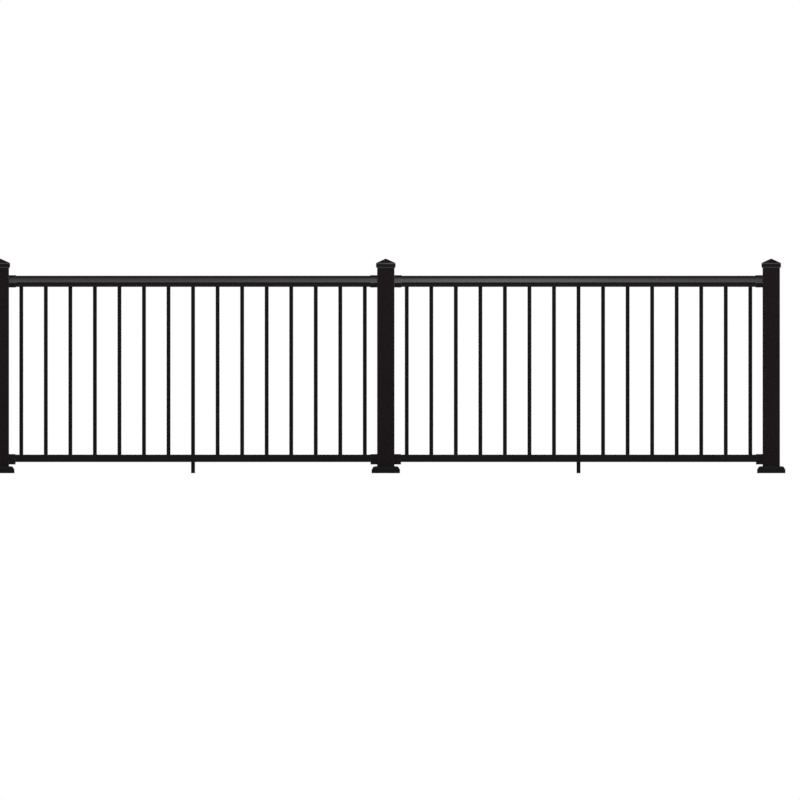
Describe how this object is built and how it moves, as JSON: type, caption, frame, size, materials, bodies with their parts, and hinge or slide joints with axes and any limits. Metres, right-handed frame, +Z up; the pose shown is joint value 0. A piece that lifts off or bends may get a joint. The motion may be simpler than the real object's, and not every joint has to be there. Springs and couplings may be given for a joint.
{
  "type": "deck railing section",
  "caption": "Straight run of black metal deck railing: square posts with pyramid caps and base skirts, loaf-topped rail, lower rail and slim square balusters.",
  "frame": {"origin": "middle of the underside of the centre post's base plate, on the deck", "axes": "+X along the railing to the right, +Y to the back, +Z up; the front faces -Y"},
  "size_m": [3.723, 0.132, 1],
  "materials": {
    "black_extrusion": "satin",
    "rail_cover": "satin",
    "black_casting": "satin",
    "baluster_coat": "satin",
    "plate_coat": "matte",
    "skirt_moulding": "satin",
    "foot_plastic": "matte"
  },
  "bodies": {
    "root": {"post_left": "black_extrusion", "base_plate_left": "plate_coat", "skirt_left": "skirt_moulding", "cap_left": "black_casting", "post_center": "black_extrusion", "base_plate_center": "plate_coat", "skirt_center": "skirt_moulding", "cap_center": "black_casting", "post_right": "black_extrusion", "base_plate_right": "plate_coat", "skirt_right": "skirt_moulding", "cap_right": "black_casting", "top_rail_channel_left": "black_extrusion", "top_rail_cover_left": "rail_cover", "bottom_rail_left": "black_extrusion", "balusters_left": "baluster_coat", "support_leg_left": "baluster_coat", "leg_foot_left": "foot_plastic", "top_bracket_left_bay_left": "black_casting", "bottom_bracket_left_bay_left": "black_casting", "top_bracket_left_bay_right": "black_casting", "bottom_bracket_left_bay_right": "black_casting", "top_rail_channel_right": "black_extrusion", "top_rail_cover_right": "rail_cover", "bottom_rail_right": "black_extrusion", "balusters_right": "baluster_coat", "support_leg_right": "baluster_coat", "leg_foot_right": "foot_plastic", "top_bracket_right_bay_left": "black_casting", "bottom_bracket_right_bay_left": "black_casting", "top_bracket_right_bay_right": "black_casting", "bottom_bracket_right_bay_right": "black_casting"}
  },
  "joints": []
}
